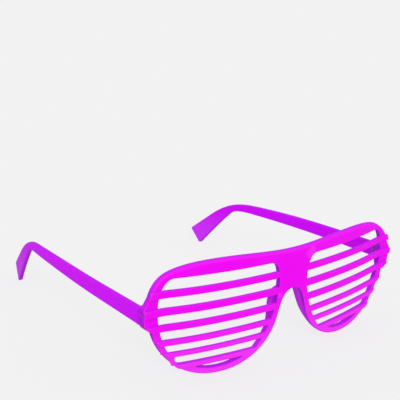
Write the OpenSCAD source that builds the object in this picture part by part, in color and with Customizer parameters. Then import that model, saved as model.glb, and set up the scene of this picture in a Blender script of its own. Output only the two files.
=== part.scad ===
// Slatted party glasses: a one-piece front with slats in place of lenses,
// two folding temples, and a three-knuckle steel hinge with a screw on each side.
// Millimetres, +Z up. +X is the wearer's left, and the front faces -Y.
// The glasses rest on the rim and the temple tips, with the origin at the
// middle of that footprint.

/* [Front outline] */
// Distance from the middle to the widest point of the rim
rim_half_w = 71.8; // [71:0.1:73]
// Height where the rim is widest
rim_side_z = 33; // [31:0.5:35]
// Height of the brow's crown
crown_z = 50.4; // [48:0.2:54]
// Distance from the middle to the brow's crown
crown_x = 38; // [32:1:44]
// Height of the top edge over the bridge
bridge_top_z = 48.7; // [46:0.1:50]
// Height of the underside of the bridge
notch_z = 31.2; // [30:0.2:33]
// Half the width of the nose notch at its flank
notch_half_w = 7.8; // [6.4:0.1:8]
// Height of the flank of the nose notch
notch_side_z = 21; // [19:0.5:23]
// Distance from the middle to the lowest point of the rim
foot_x = 38.6; // [35:0.2:42]
// How far the end piece stands out past the widest point of the rim
lobe_out = 3.5; // [2:0.1:4]

/* [Lens openings] */
// Width of the bridge between the two openings
bridge_w = 17.4; // [17:0.1:19]
// Width of the rim beside an opening, at its widest point
rim_side_w = 4.2; // [3:0.1:5]
// Height of the brow's lower edge
brow_z = 44.6; // [43.5:0.1:46]
// Height of the lower edge of the openings
lens_foot_z = 5.4; // [5.1:0.1:5.8]
// Length of the crescent slot under each opening
crescent_l = 24; // [16:1:28]
// Width of the crescent slot at its middle
crescent_w = 1.7; // [1:0.1:2]
// Height of the upper edge of the crescent slot
crescent_z = 4.6; // [4.2:0.1:4.8]

/* [Section and bow] */
// Radius of the front's bow, seen from above
rim_bow_r = 275; // [240:5:320]
// Radius of the slats' bow, flatter than the rim's so that they stand proud
slat_bow_r = 303; // [290:1:330]
// Distance from the middle past which the front runs straight across
end_flat_x = 66; // [62:1:67]
// Distance from the middle where the slats are flush with the rim
flush_x = 25; // [20:1:30]
// Thickness of the rim and bridge, front to back
rim_t = 2.7; // [2.2:0.1:3.2]
// Tilt of the slats, their front edges down
rake = 9; // [4:0.5:12]

/* [Slats] */
// Heights of the lower edges of the slats, the lowest of them on the rim itself
slat_z = [37.3, 29.8, 22.9, 16.3, 10.6, 4.8]; // [4.7:0.1:40]
// Heights of the slats, edge to edge
slat_h = [2.5, 2.4, 2.4, 2.1, 1.8, 2.4]; // [1.4:0.1:3]
// Thickness of a slat, front to back
slat_t = 1.7; // [1.3:0.1:2.2]
// How far a slat runs into the rim at its nose end
slat_root = 1; // [0.6:0.1:1.4]
// How far the end of a slat stands past the rim
slat_end = 1; // [0.4:0.1:1.4]
// How far the end of a slat stands past the end piece
lobe_slat_end = 0.2; // [0.1:0.1:0.6]

/* [Nose pads] */
// Depth of the moulded nose pads, from the front of the rim
pad_depth = 5.6; // [4:0.2:8]
// Thickness of the nose pads
pad_t = 1.8; // [1.4:0.1:2.4]
// Height of the lower end of the nose pads
pad_low_z = 8; // [7:0.5:11]
// Height of the upper end of the nose pads
pad_top_z = 28.5; // [26:0.5:29]

/* [Temples] */
// How far the outer face of a temple lies inside the end piece's outer edge
temple_set = 0.3; // [0.2:0.1:0.8]
// Thickness of a temple
temple_t = 2.6; // [2.4:0.1:3]
// Length of a temple from its root to the start of the ear bend
temple_l = 94.7; // [85:0.1:110]
// Height of a temple at its root
root_h = 7.6; // [7.2:0.1:8.4]
// Height of the lower edge of a temple's straight part above the floor
shank_z = 28; // [27.4:0.1:28.6]
// Height of a temple just before the ear bend
neck_h = 4.9; // [4.6:0.1:6]
// Height of the top edge just before the ear bend above the floor
temple_z = 32.6; // [31:0.2:33.4]
// Height of the top edge of the root above the floor
root_z = 34.8; // [34.4:0.1:35]
// Distance that a temple leans inwards from its root to the ear bend
temple_lean = 3.8; // [3:0.2:7]
// Length of the ear bend and tip, along the glasses
tip_l = 45; // [42:1:52]
// Width of the tip at its end
tip_end_w = 12; // [9:0.5:14]
// Angle of the tip's end above the floor
tip_cut = 47; // [40:1:55]
// Distance that the tip leans inwards
tip_lean = 8; // [4:0.2:9]
// Radius of the corners of the tip
tip_r = 1.5; // [0.8:0.1:2.5]
// Gap between the root of an open temple and the end piece
butt_gap = 0.15; // [0.05:0.05:0.3]

/* [End pieces] */
// How far the end pieces stand back past the rim
end_step = 0.5; // [0.4:0.1:1.5]
// Height of the flat at the back of an end piece
end_h = 9.6; // [9:0.1:10.2]

/* [Hinges] */
// Radius of the knuckles
knuckle_r = 1.5; // [1.4:0.05:1.6]
// Distance from the hinge axis to the end piece and to the temple
axis_off = 1.7; // [1.7:0.05:2]
// Height of the whole row of three knuckles, and of the plates
knuckle_row = 5.6; // [5:0.1:5.8]
// How far the middle of the hinge lies below the middle of the temple's root
hinge_drop = 0.4; // [0.2:0.1:0.6]
// Gap between neighbouring knuckles
knuckle_gap = 0.1; // [0.05:0.05:0.2]
// Thickness of the hinge plates
plate_t = 0.8; // [0.6:0.05:0.9]
// Width of the plate sunk in the end piece
front_plate_w = 4.4; // [4:0.1:4.8]
// Length of the plate sunk in the temple
temple_plate_l = 8; // [6:0.5:12]
// Width of the web between a knuckle and its plate
web_w = 2; // [1.6:0.1:2.2]
// Radius of the anchor pegs
peg_r = 0.6; // [0.4:0.05:0.8]
// Length of the anchor pegs
peg_l = 1; // [0.6:0.1:1.2]
// Clearance around a sunk plate and its pegs
set_gap = 0.02; // [0.01:0.01:0.05]
// Radius of the screw's shank
screw_r = 0.65; // [0.5:0.05:0.7]
// Radial clearance of the screw in the knuckles
screw_gap = 0.05; // [0.02:0.01:0.08]
// Radius of the screw's head
head_r = 1.2; // [1:0.05:1.3]
// Height of the screw's head
head_h = 0.6; // [0.4:0.05:0.8]
// Width of the slot in the screw's head
slot_w = 0.4; // [0.3:0.05:0.5]

/* [Hidden] */
steps = 8;
bow_steps = 12;
far = 200;
magenta = "#f50af5";
purple = "#c814e6";
steel = "#b8babf";

// Points of a cubic curve from a towards d, without its last point
function curve(a, b, c, d) = [for (i = [0:steps - 1]) let (t = i / steps, s = 1 - t)
    s*s*s*a + 3*s*s*t*b + 3*s*t*t*c + t*t*t*d];

// A point some shares of the way from corner a to corner b, across and up
function share(a, b, u, v) = [a[0] + u * (b[0] - a[0]), a[1] + v * (b[1] - a[1])];

// Upper, outer, lower and notch stretches of half the front's outline
bridge_top = [0, bridge_top_z];
crown = [crown_x, crown_z];
rim_side = [rim_half_w, rim_side_z];
foot = [foot_x, 0];
flank = [notch_half_w, notch_side_z];
notch_top = [0, notch_z];
brow_curve = concat(
    curve(bridge_top, share(bridge_top, crown, 0.37, 0), share(bridge_top, crown, 0.63, 1), crown),
    curve(crown, share(crown, rim_side, 0.57, 0), share(crown, rim_side, 1, 0.11), rim_side));
side_curve = curve(rim_side, share(rim_side, foot, -0.02, 0.52), share(rim_side, foot, 0.36, 1), foot);
notch_curve = concat(
    curve(foot, share(foot, flank, 0.54, 0), share(foot, flank, 0.91, 0.43), flank),
    curve(flank, share(flank, notch_top, 0.19, 0.54), share(flank, notch_top, 0.38, 1), notch_top));
half_outline = concat(brow_curve, side_curve, notch_curve, [notch_top]);

// One lens opening, its points as shares of the opening's width and height
lens_x = bridge_w / 2;
lens_low = [lens_x, lens_foot_z];
lens_high = [rim_half_w - rim_side_w, brow_z];
function in_lens(u, v) = share(lens_low, lens_high, u, v);
lens_outline = concat(
    curve(in_lens(0.09, 1), in_lens(0.03, 0.99), in_lens(0.012, 0.93), in_lens(0, 0.81)),
    curve(in_lens(0, 0.81), in_lens(-0.014, 0.59), in_lens(0.056, 0.24), in_lens(0.217, 0)),
    curve(in_lens(0.803, 0), in_lens(0.99, 0.21), in_lens(1.027, 0.61), in_lens(1, 0.81)),
    curve(in_lens(1, 0.81), in_lens(0.986, 0.9), in_lens(0.947, 0.99), in_lens(0.896, 1)),
    [in_lens(0.896, 1)]);

// Distance from the middle to the rim's edge at height z
rim_edge = concat(brow_curve, side_curve, [[foot_x, 0]]);
outer_edge = [for (i = [len(rim_edge) - 1:-1:steps + 1]) [rim_edge[i][1], rim_edge[i][0]]];
function edge_x(z) = lookup(z, outer_edge);

// Distance from the middle to the nose side of an opening at height z
nose_edge = [for (i = [2 * steps:-1:0]) [lens_outline[i][1], lens_outline[i][0]]];
function nose_x(z) = lookup(z, nose_edge);

// The end piece is a lobe beside the second and third slats
slat_top = slat_z + slat_h;
end_half_w = rim_half_w + lobe_out;
lobe_in_x = rim_half_w - rim_side_w / 2;
lobe_edge = [[slat_z[2], end_half_w - 4.6], [slat_top[2], end_half_w - 0.6],
             [slat_top[1], end_half_w], [slat_z[0] + 1, edge_x(slat_z[0] + 1)]];
lobe = concat([[lobe_in_x, slat_z[0] + 1], [lobe_in_x, slat_z[2]]],
              [for (p = lobe_edge) [p[1], p[0]]]);

// Distance from the middle to the outer end of the slat whose top is at height z
function slat_x_end(z) = z > slat_z[2] && z < slat_z[0]
    ? lookup(z, lobe_edge) + lobe_slat_end : edge_x(z) + slat_end;

// Bow of the rim and of the slats, and how far the tilted slats lift the rim
function bow_y(x, r) = r - sqrt(r * r - pow(min(x, end_flat_x), 2));
function rim_y(x) = bow_y(x, rim_bow_r);
slat_set = rim_y(flush_x) - bow_y(flush_x, slat_bow_r);
foot_lift = rim_y(foot_x) * tan(rake);
end_back_y = rim_y(rim_half_w) + rim_t + end_step;

// Temple landmarks in the plane of the temple: distance back and height
root_y = end_back_y + butt_gap;
bend_y = root_y + temple_l;
tip_y = bend_y + tip_l;
root_mid_z = root_z - root_h / 2;
neck_z = temple_z - neck_h;
tip_top = [bend_y + 0.66 * tip_l, temple_z - 11.2];
tip_throat = [bend_y + 14.5, neck_z - 2.8];
tip_side = [cos(tip_cut), sin(tip_cut)];
heel_floor = [tip_y - tip_end_w * tip_side[0], 0];
heel_round = rounded_off(tip_side[1], unit(tip_throat - heel_floor)[1]);
tip_heel = heel_floor - [0, heel_round];
tip_end = tip_heel + tip_end_w * tip_side;
glasses_l = tip_y - rounded_off(tip_side[0], unit(tip_end - tip_top)[0]);

// Outer face of a temple at its root, and the hinge axis of the left side
temple_x = end_half_w - temple_set;
axis_x = temple_x - temple_t - axis_off;
axis_y = end_back_y + axis_off;
hinge_z = root_mid_z - hinge_drop;
row_z = hinge_z - knuckle_row / 2;
knuckle_h = (knuckle_row - 2 * knuckle_gap) / 3;
front_plate_x = axis_x - web_w / 2;

// Places a drawing with the height above the rim's lowest point as its second
// axis, and draws it out along the tilt of the slats
module along_draw() {
    translate([0, 0, -foot_lift]) rotate([rake, 0, 0])
        translate([0, far / 4, 0]) rotate([90, 0, 0]) linear_extrude(height = far / 2) children();
}

// Points from the middle outwards on a bow that runs on straight past end_flat_x
function bow_line(bow_r, inset) = concat([[-1, inset]],
    [for (i = [0:bow_steps]) let (x = end_flat_x * i / bow_steps) [x, bow_y(x, bow_r) + inset]],
    [[far / 2, bow_y(end_flat_x, bow_r) + inset]]);

// Half of a wall of thickness t behind such a bow
module bowed_wall(bow_r, y, t) {
    back = bow_line(bow_r, t);
    translate([0, y, -far / 2]) linear_extrude(height = far)
        polygon(concat(bow_line(bow_r, 0), [for (i = [len(back) - 1:-1:0]) back[i]]));
}

// Half of the front's outline, with the end piece's lobe
module half_rim_outline() {
    polygon(half_outline);
    polygon(lobe);
}

module crescent() {
    low_z = crescent_z - crescent_w;
    x0 = foot_x - crescent_l / 2;
    x1 = foot_x + crescent_l / 2;
    polygon(concat(
        curve([x0, crescent_z], [x0 + 7, low_z - 0.4], [x1 - 7, low_z - 0.4], [x1, crescent_z]),
        [[x1, crescent_z]]));
}

// A drawing of the front, drawn out and kept only where the bowed wall is
module bowed(bow_r, y, t) {
    intersection() {
        bowed_wall(bow_r, y, t);
        along_draw() children();
    }
}

module half_rim() {
    difference() {
        union() {
            bowed(rim_bow_r, 0, rim_t) polygon(half_outline);
            bowed(rim_bow_r, 0, rim_t) polygon(lobe);
        }
        along_draw() {
            polygon(lens_outline);
            crescent();
        }
    }
}

module half_slats() {
    bowed(slat_bow_r, slat_set, slat_t) for (i = [0:len(slat_z) - 1]) {
        x0 = nose_x(slat_top[i]) - slat_root;
        translate([x0, slat_z[i]]) square([slat_x_end(slat_top[i]) - x0, slat_h[i]]);
    }
}

module nose_pad() {
    edge = [for (p = notch_curve) if (p[1] > pad_low_z && p[1] < pad_top_z) p];
    inset = [for (i = [len(edge) - 1:-1:0]) edge[i] + [pad_t, 0]];
    mid_z = pad_top_z - 6;
    intersection() {
        along_draw() polygon(concat(edge, inset));
        rotate([90, 0, 90]) linear_extrude(height = foot_x)
            polygon(concat(
                curve([0.9, pad_top_z], [pad_depth * 0.7, pad_top_z],
                      [pad_depth, mid_z + 3], [pad_depth, mid_z]),
                curve([pad_depth, mid_z], [pad_depth, mid_z - 7],
                      [rim_t, pad_low_z + 4], [rim_t, pad_low_z]),
                [[0.9, pad_low_z]]));
    }
}

module end_block() {
    intersection() {
        translate([front_plate_x - 1, end_back_y - 3.5, root_mid_z - end_h / 2])
            cube([far, 3.5, end_h]);
        along_draw() half_rim_outline();
    }
}

module anchor_holes() {
    translate([front_plate_x - set_gap, end_back_y - plate_t, row_z - set_gap])
        cube([front_plate_w + 2 * set_gap, far, knuckle_row + 2 * set_gap]);
    front_pegs(peg_r + set_gap, peg_l + set_gap);
}

module front_pegs(r, l) {
    for (z = [row_z + 1.3, row_z + knuckle_row - 1.3])
        translate([front_plate_x + front_plate_w / 2, end_back_y - plate_t, z])
            rotate([90, 0, 0]) cylinder(r = r, h = l, $fn = 32);
}

module half_front() {
    difference() {
        union() {
            half_rim();
            half_slats();
            nose_pad();
            end_block();
        }
        anchor_holes();
    }
}

module front_frame() {
    color(magenta) {
        half_front();
        mirror([1, 0, 0]) half_front();
    }
}

// The temple seen from its side, with the distance back as its first axis
module temple_side() {
    polygon(concat(
        curve([root_y, root_z], [root_y + 0.4 * temple_l, root_z],
              [root_y + 0.7 * temple_l, root_z - 0.1], [bend_y, temple_z]),
        curve([bend_y, temple_z], [bend_y + 0.26 * tip_l, temple_z - 0.8],
              [bend_y + 0.43 * tip_l, tip_top[1] + 8.2], tip_top),
        rounded_tip(),
        curve(tip_throat, [bend_y + 10, neck_z - 0.9], [bend_y + 4, neck_z], [bend_y - 4, neck_z]),
        curve([bend_y - 4, neck_z], [root_y + 0.7 * temple_l, shank_z + 0.2],
              [root_y + 0.35 * temple_l, shank_z + 0.1], [root_y, root_z - root_h])));
}

// The two round corners at the end of the tip
function rounded_tip() = concat(
    round_corner(tip_top, tip_end, tip_heel),
    round_corner(tip_end, tip_heel, tip_throat));

function unit(v) = v / norm(v);
function round_corner(a, b, c) = curve(b + unit(a - b) * tip_r, b, b, b + unit(c - b) * tip_r);

// How much a corner's rounding takes off its reach, from its sides' slopes
function rounded_off(a, b) = tip_r * a * b / pow(sqrt(a) + sqrt(b), 2);

// The temple seen from above
module temple_plan() {
    lean_y = root_y + 0.3 * temple_l;
    bend_x = temple_x - temple_lean;
    outer = concat(
        [[temple_x, root_y]],
        curve([temple_x, lean_y], [temple_x, lean_y + 0.26 * temple_l],
              [bend_x + 0.45 * temple_lean, bend_y - 0.17 * temple_l], [bend_x, bend_y]),
        curve([bend_x, bend_y], [bend_x - 0.23 * tip_lean, bend_y + 0.32 * tip_l],
              [bend_x - 0.58 * tip_lean, bend_y + 0.67 * tip_l], [bend_x - tip_lean, tip_y]),
        [[bend_x - tip_lean, tip_y]]);
    polygon(concat(outer, [for (i = [len(outer) - 1:-1:0]) outer[i] - [temple_t, 0]]));
}

module temple_pocket() {
    translate([temple_x - temple_t - 1, axis_y - web_w / 2 - set_gap, row_z - set_gap])
        cube([1 + plate_t, temple_plate_l + 2 * set_gap, knuckle_row + 2 * set_gap]);
    temple_pegs(peg_r + set_gap, peg_l + set_gap);
}

module temple_pegs(r, l) {
    for (y = [axis_y + 1, axis_y + temple_plate_l - 2.5])
        translate([temple_x - temple_t + plate_t, y, hinge_z])
            rotate([0, 90, 0]) cylinder(r = r, h = l, $fn = 32);
}

module temple() {
    color(purple) difference() {
        intersection() {
            rotate([90, 0, 90]) linear_extrude(height = far) temple_side();
            linear_extrude(height = far) temple_plan();
        }
        temple_pocket();
    }
}

module knuckle(i) {
    translate([axis_x, axis_y, row_z + i * (knuckle_h + knuckle_gap)])
        cylinder(r = knuckle_r, h = knuckle_h, $fn = 48);
}

module screw_bore() {
    translate([axis_x, axis_y, row_z - 1])
        cylinder(r = screw_r + screw_gap, h = knuckle_row + 2, $fn = 48);
}

module front_hinge_leaf() {
    color(steel) difference() {
        union() {
            translate([front_plate_x, end_back_y - plate_t, row_z])
                cube([front_plate_w, plate_t, knuckle_row]);
            front_pegs(peg_r, peg_l);
            for (i = [0, 2]) {
                knuckle(i);
                translate([axis_x - web_w / 2, end_back_y - plate_t / 2,
                           row_z + i * (knuckle_h + knuckle_gap)])
                    cube([web_w, axis_off + plate_t / 2, knuckle_h]);
            }
        }
        screw_bore();
    }
}

module temple_hinge_leaf() {
    color(steel) difference() {
        union() {
            translate([temple_x - temple_t, axis_y - web_w / 2, row_z])
                cube([plate_t, temple_plate_l, knuckle_row]);
            temple_pegs(peg_r, peg_l);
            knuckle(1);
            translate([axis_x, axis_y - web_w / 2, row_z + knuckle_h + knuckle_gap])
                cube([axis_off + plate_t / 2, web_w, knuckle_h]);
        }
        screw_bore();
    }
}

module hinge_screw() {
    top_z = row_z + knuckle_row;
    color(steel) difference() {
        union() {
            translate([axis_x, axis_y, row_z]) cylinder(r = screw_r, h = knuckle_row, $fn = 48);
            translate([axis_x, axis_y, top_z]) cylinder(r = head_r, h = head_h, $fn = 48);
        }
        translate([axis_x - head_r - 1, axis_y - slot_w / 2, top_z + head_h / 2])
            cube([2 * head_r + 2, slot_w, head_h]);
    }
}

// The origin is half way between the front of the bridge and the tips' ends
module placed() {
    translate([0, -glasses_l / 2, 0]) children();
}

module placed_right() {
    placed() mirror([1, 0, 0]) children();
}

placed() front_frame();
placed() temple();  // left_temple
placed_right() temple();  // right_temple
placed() front_hinge_leaf();  // left_front_hinge_leaf
placed_right() front_hinge_leaf();  // right_front_hinge_leaf
placed() temple_hinge_leaf();  // left_temple_hinge_leaf
placed_right() temple_hinge_leaf();  // right_temple_hinge_leaf
placed() hinge_screw();  // left_hinge_screw
placed_right() hinge_screw();  // right_hinge_screw
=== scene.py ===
"""Looks of the slatted party glasses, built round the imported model.

Sizes in the classes are in millimetres where their notes don't say metres, in the
model's own frame: +X is the wearer's left, the front faces -Y and the glasses rest
on Z = 0. A drawing of the front is flat, with the distance from the middle and the
height as its two axes, and is then laid on the bow. Depths run from the front face
backwards. A Place turns arrays of the two drawn distances and of the depth into
places in millimetres, one a row.
"""
import logging
import math
from dataclasses import dataclass, field
from enum import Enum
from functools import cache, cached_property
from typing import Callable, Sequence

import bmesh
import bpy
import numpy as np
from mathutils import Matrix, Vector
from mathutils.geometry import delaunay_2d_cdt


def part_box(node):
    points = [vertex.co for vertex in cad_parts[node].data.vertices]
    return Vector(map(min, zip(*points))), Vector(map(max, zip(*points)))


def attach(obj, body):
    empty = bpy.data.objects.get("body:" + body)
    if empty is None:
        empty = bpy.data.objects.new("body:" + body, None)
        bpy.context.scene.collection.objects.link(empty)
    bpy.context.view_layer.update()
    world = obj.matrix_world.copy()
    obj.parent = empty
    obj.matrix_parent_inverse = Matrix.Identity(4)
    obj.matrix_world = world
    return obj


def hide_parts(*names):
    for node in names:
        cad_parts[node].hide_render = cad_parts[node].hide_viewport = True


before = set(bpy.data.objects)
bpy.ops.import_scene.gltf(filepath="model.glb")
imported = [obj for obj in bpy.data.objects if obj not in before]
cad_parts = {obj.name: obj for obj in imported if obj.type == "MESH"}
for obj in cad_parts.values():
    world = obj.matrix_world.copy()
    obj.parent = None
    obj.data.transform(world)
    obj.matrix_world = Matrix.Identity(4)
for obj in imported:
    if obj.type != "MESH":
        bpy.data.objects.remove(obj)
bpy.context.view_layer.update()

LOG = logging.getLogger("party_glasses")
MM = 0.001
CURVE_STEPS = 40
# Twice the area, in square millimetres, up to which a triangle counts as a sliver.
SLIVER = 4e-5
Point = tuple[float, float]
Colour = tuple[float, float, float, float]
Place = Callable[[np.ndarray, np.ndarray, np.ndarray], np.ndarray]
Piece = bpy.types.Object
Socket = bpy.types.NodeSocket


class Side(Enum):
    """The wearer's two sides, as the sign of X."""

    LEFT = 1
    RIGHT = -1

    @property
    def word(self) -> str:
        """The side's name in the model's own words."""
        return self.name.lower()


def linear(red: int, green: int, blue: int) -> Colour:
    """Turns a screen colour into the linear one that shaders take.

    Args:
        red, green, blue: The colour, 0 to 255.

    Returns:
        Linear red, green, blue and an alpha of 1.
    """
    def channel(value: int) -> float:
        """One channel, by the sRGB curve."""
        share = value / 255
        return share / 12.92 if share <= 0.04045 else ((share + 0.055) / 1.055) ** 2.4
    return channel(red), channel(green), channel(blue), 1.0


def curve(a: Point, b: Point, c: Point, d: Point, steps: int = CURVE_STEPS) -> list[Point]:
    """Points of a cubic curve from a towards d, without its last point.

    Args:
        a, b, c, d: The ends and the two handles.
        steps: The number of points.

    Returns:
        The points in order.
    """
    t = np.arange(steps)[:, None] / steps
    s = 1 - t
    corners = [np.array(p, float) for p in (a, b, c, d)]
    line = s**3 * corners[0] + 3 * s * s * t * corners[1] + 3 * s * t * t * corners[2] + t**3 * corners[3]
    return [tuple(p) for p in line]


def share(a: Point, b: Point, across: float, up: float) -> Point:
    """The point at some shares of the way from corner a to corner b."""
    return a[0] + across * (b[0] - a[0]), a[1] + up * (b[1] - a[1])


def smooth(t: np.ndarray) -> np.ndarray:
    """A smooth step from 0 to 1 as t goes from 0 to 1."""
    held = np.clip(t, 0, 1)
    return held * held * (3 - 2 * held)


def turned_left(v: np.ndarray) -> np.ndarray:
    """Vectors of a plane, turned a quarter to the left."""
    return np.stack([-v[:, 1], v[:, 0]], 1)


def unit_rows(v: np.ndarray) -> np.ndarray:
    """Each row scaled to a length of 1."""
    return v / np.maximum(np.linalg.norm(v, axis=1), 1e-9)[:, None]


def signed_area(loop: np.ndarray) -> float:
    """Area of a closed loop, positive where it runs anticlockwise."""
    ahead = np.roll(loop, -1, 0)
    return 0.5 * float(np.sum(loop[:, 0] * ahead[:, 1] - ahead[:, 0] * loop[:, 1]))


def along_line(line: np.ndarray) -> np.ndarray:
    """Distance of each point of a line from its start, along the line."""
    return np.concatenate([[0], np.cumsum(np.linalg.norm(np.diff(line, axis=0), axis=1))])


def rounded(points: Sequence[Point], radius: float, min_turn: float = 25.0, steps: int = 4) -> list[Point]:
    """Rounds the sharp corners of a closed outline.

    Args:
        points: The outline.
        radius: Radius of the rounding, less where a side is short.
        min_turn: The least turn, in degrees, that counts as a corner.
        steps: Pieces in each rounding.

    Returns:
        The outline with an arc in place of each corner.
    """
    side_share, least_cut = 0.45, 1e-4
    loop, out = np.array(points, float), []
    for i, here in enumerate(loop):
        before, after = loop[i - 1] - here, loop[(i + 1) % len(loop)] - here
        reach_before, reach_after = np.linalg.norm(before), np.linalg.norm(after)
        u, v = before / reach_before, after / reach_after
        turn = math.pi - math.acos(max(-1.0, min(1.0, float(u @ v))))
        cut = min(radius * math.tan(turn / 2), side_share * reach_before, side_share * reach_after)
        if math.degrees(turn) < min_turn or cut < least_cut:
            out.append(tuple(here))
            continue
        start, end = here + u * cut, here + v * cut
        for k in range(steps + 1):
            t = k / steps
            out.append(tuple((1 - t) ** 2 * start + 2 * t * (1 - t) * here + t * t * end))
    return out


def evenly(line: np.ndarray, spacing: float) -> np.ndarray:
    """Spreads points evenly along an open line.

    Args:
        line: The line, one corner a row.
        spacing: The distance between neighbours that is aimed at.

    Returns:
        The points from end to end, one a row.
    """
    along = along_line(line)
    stops = np.linspace(0, along[-1], max(1, round(along[-1] / spacing)) + 1)
    return np.stack([np.interp(stops, along, line[:, k]) for k in (0, 1)], 1)


def spaced(points: Sequence[Point], spacing: float, corner: float = 12.0) -> np.ndarray:
    """Spreads points evenly along a closed outline and keeps its corners.

    Args:
        points: The outline.
        spacing: The distance between neighbours that is aimed at.
        corner: The least turn, in degrees, at a point that is kept.

    Returns:
        The new outline, one point a row.
    """
    loop = np.array(points, float)
    loop = loop[np.linalg.norm(loop - np.roll(loop, 1, 0), axis=1) > 1e-6]
    into = unit_rows(loop - np.roll(loop, 1, 0))
    out_of = np.roll(into, -1, 0)
    turn = np.degrees(np.arccos(np.clip(np.sum(into * out_of, 1), -1, 1)))
    kept = [int(i) for i in np.nonzero(turn > corner)[0]] or [0]
    rows = []
    for n, first in enumerate(kept):
        last = kept[(n + 1) % len(kept)]
        run = [first]
        while run[-1] != last or len(run) == 1:
            run.append((run[-1] + 1) % len(loop))
        rows.append(evenly(loop[run], spacing)[:-1])
    return np.concatenate(rows)


def inside(points: np.ndarray, loop: np.ndarray) -> np.ndarray:
    """Tells which points lie inside a closed loop.

    Args:
        points: The points, one a row.
        loop: The loop, one corner a row.

    Returns:
        True for each point inside.
    """
    x, y = points[:, :1], points[:, 1:]
    x0, y0 = loop[:, 0][None], loop[:, 1][None]
    x1, y1 = np.roll(loop[:, 0], -1)[None], np.roll(loop[:, 1], -1)[None]
    spans = (y0 > y) != (y1 > y)
    rise = np.where(np.abs(y1 - y0) < 1e-12, 1e-12, y1 - y0)
    return np.sum(spans & (x < x0 + (y - y0) / rise * (x1 - x0)), 1) % 2 == 1


def bridge(bm: bmesh.types.BMesh, rings: Sequence[Sequence[bmesh.types.BMVert]]) -> None:
    """Joins each closed ring of vertices to the next with four-sided faces.

    Args:
        bm: The mesh that holds them.
        rings: The rings in order, with as many vertices each.
    """
    for one, two in zip(rings, rings[1:]):
        for i in range(len(one)):
            j = (i + 1) % len(one)
            bm.faces.new((one[i], one[j], two[j], two[i]))


def add(name: str, data: bpy.types.ID) -> Piece:
    """Adds an object with its data to the scene.

    Args:
        name: The object's name.
        data: Its mesh, camera or light.

    Returns:
        The object.
    """
    made = bpy.data.objects.new(name, data)
    bpy.context.scene.collection.objects.link(made)
    return made


def make_object(name: str, bm: bmesh.types.BMesh) -> Piece:
    """Makes a smooth-shaded object from a closed mesh and frees the mesh.

    Args:
        name: The piece's name.
        bm: The mesh, in metres.

    Returns:
        The new object, in the scene.
    """
    bad = sum(len(edge.link_faces) != 2 for edge in bm.edges)
    if bad:
        LOG.warning("%s has %d edges that don't join two faces", name, bad)
    bmesh.ops.recalc_face_normals(bm, faces=bm.faces)
    mesh = bpy.data.meshes.new(name)
    bm.to_mesh(mesh)
    bm.free()
    for face in mesh.polygons:
        face.use_smooth = True
    piece = add(name, mesh)
    weighted = piece.modifiers.new("face weighted normals", "WEIGHTED_NORMAL")
    weighted.weight = 60
    return piece


def join(name: str, pieces: Sequence[Piece]) -> Piece:
    """Joins pieces of one moulding into one object.

    Args:
        name: The name of the joined piece.
        pieces: The pieces, whose objects are used up.

    Returns:
        The joined object.
    """
    bm = bmesh.new()
    for piece in pieces:
        bm.from_mesh(piece.data)
        bpy.data.objects.remove(piece)
    return make_object(name, bm)


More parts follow.
